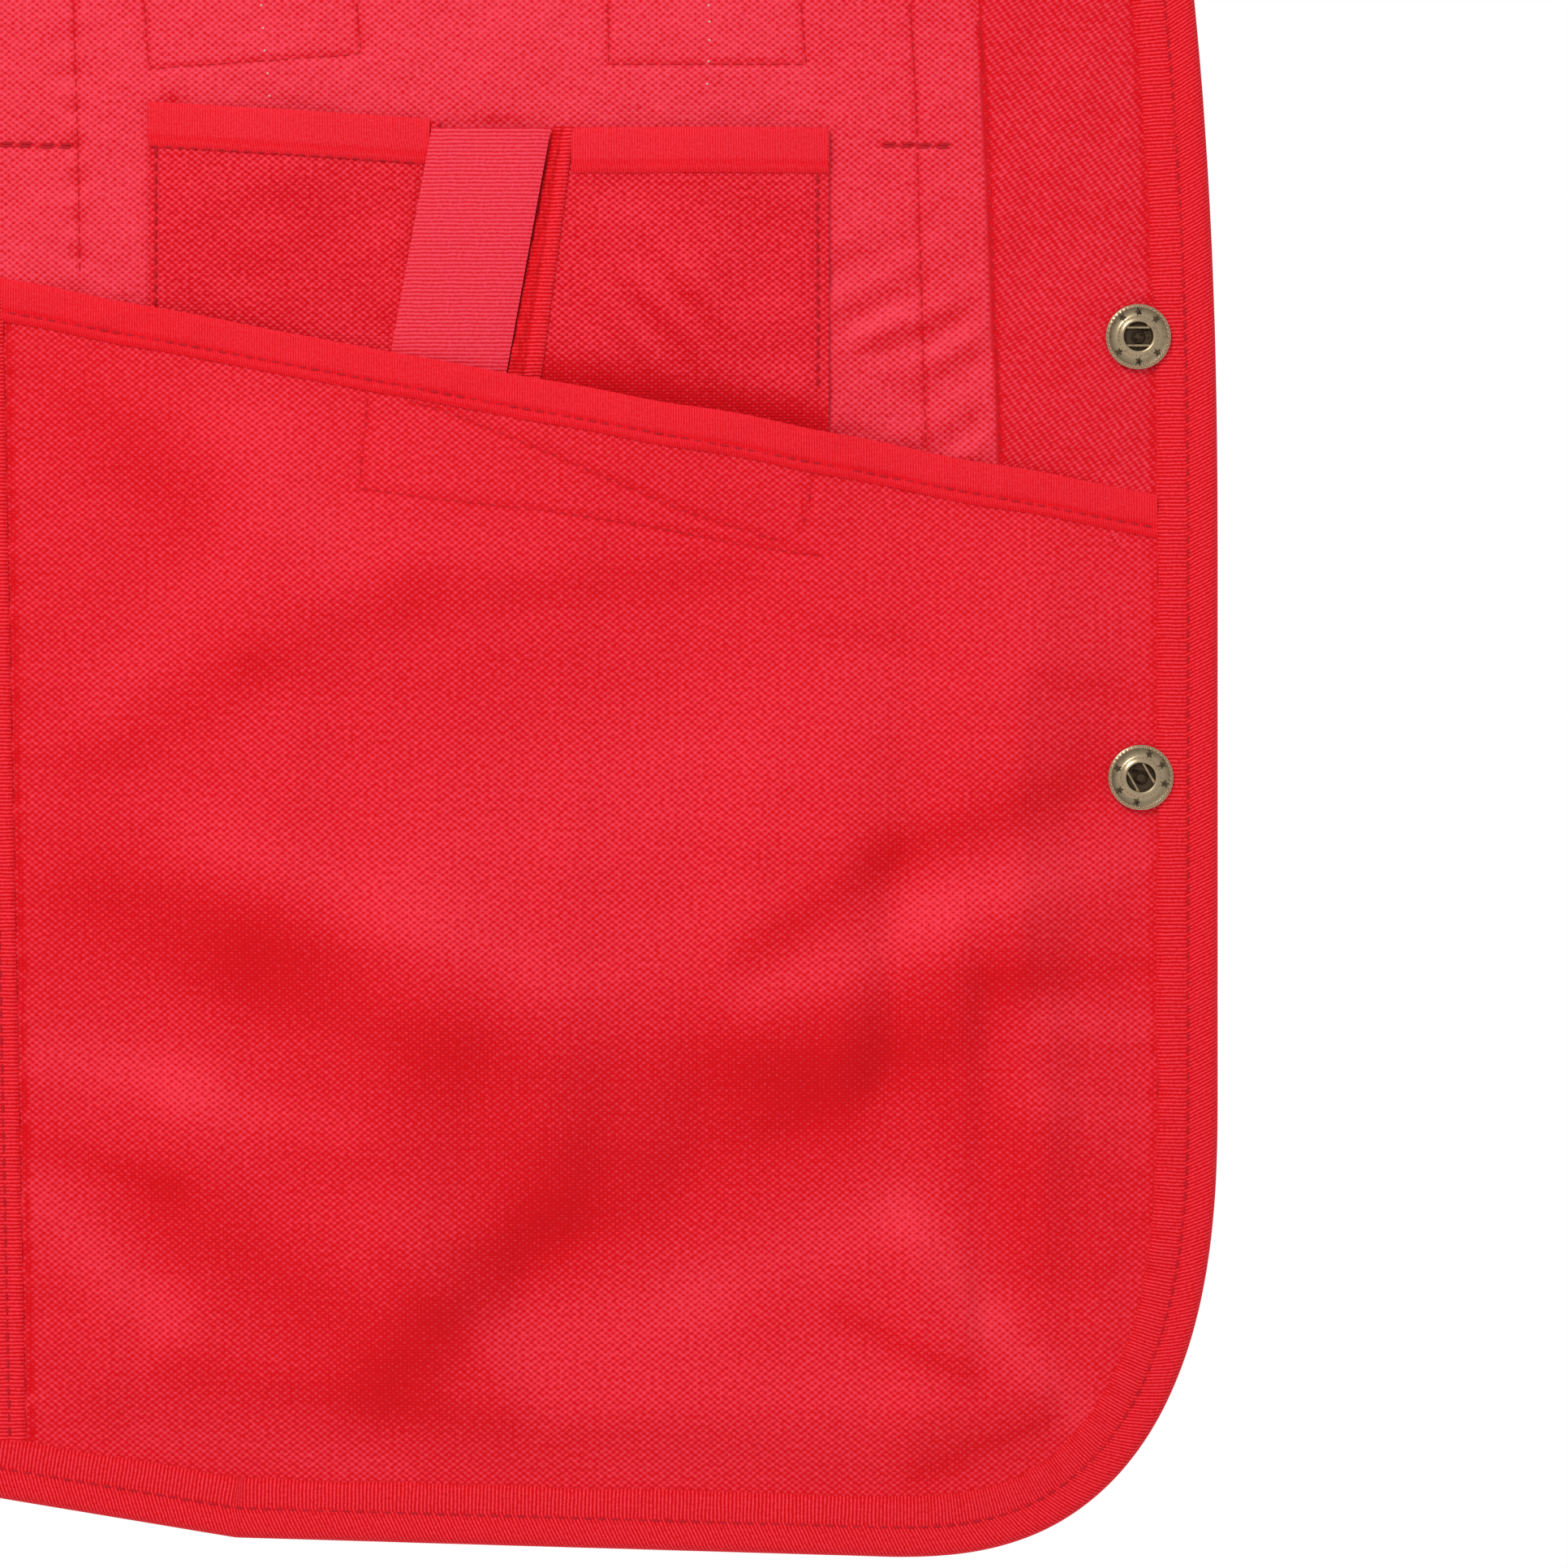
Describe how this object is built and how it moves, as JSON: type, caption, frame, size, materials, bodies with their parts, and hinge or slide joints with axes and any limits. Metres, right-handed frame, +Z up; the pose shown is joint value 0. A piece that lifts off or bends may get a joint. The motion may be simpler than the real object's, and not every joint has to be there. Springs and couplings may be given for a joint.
{
  "type": "utility work vest",
  "caption": "Red snap-front utility work vest of oxford cloth with taped edges, right front closed and left front thrown open to show its inner pockets and snap sockets",
  "frame": {"origin": "mid-point between the two shoulder seams, at their mean height", "axes": "+Z up, +Y to the wearer's back, +X to the wearer's left"},
  "size_m": [0.7239, 0.3125, 0.6566],
  "materials": {
    "oxford_cloth": "woven polyester oxford, soft sheen",
    "pocket_cloth": "woven polyester oxford, a shade deeper, crumpled",
    "tape": "ribbed grosgrain tape",
    "webbing": "fine cross-ribbed webbing",
    "brass": "antique brass, satin, dark in the recesses"
  },
  "bodies": {
    "root": {"back_panel": "oxford_cloth", "left_front_panel": "oxford_cloth", "right_front_panel": "oxford_cloth", "back_hem_binding": "tape", "neck_binding": "tape", "left_front_binding": "tape", "right_front_binding": "tape", "left_front_armhole_binding": "tape", "right_front_armhole_binding": "tape", "left_back_armhole_binding": "tape", "right_back_armhole_binding": "tape", "large_inner_pocket": "pocket_cloth", "large_pocket_mouth_binding": "tape", "large_pocket_side_tape": "tape", "small_pocket_left": "pocket_cloth", "small_pocket_left_binding": "tape", "small_pocket_right": "pocket_cloth", "small_pocket_right_binding": "tape", "webbing_tab": "webbing", "small_pocket_bound_edge": "tape", "outer_pocket_left": "oxford_cloth", "outer_pocket_left_binding": "tape", "outer_pocket_right": "oxford_cloth", "outer_pocket_right_binding": "tape", "snap_socket_1": "brass", "snap_cap_1": "brass", "snap_stud_1": "brass", "snap_post_1": "brass", "snap_socket_2": "brass", "snap_cap_2": "brass", "snap_stud_2": "brass", "snap_post_2": "brass", "snap_socket_3": "brass", "snap_cap_3": "brass", "snap_stud_3": "brass", "snap_post_3": "brass", "snap_socket_4": "brass", "snap_cap_4": "brass", "snap_stud_4": "brass", "snap_post_4": "brass"}
  },
  "joints": []
}
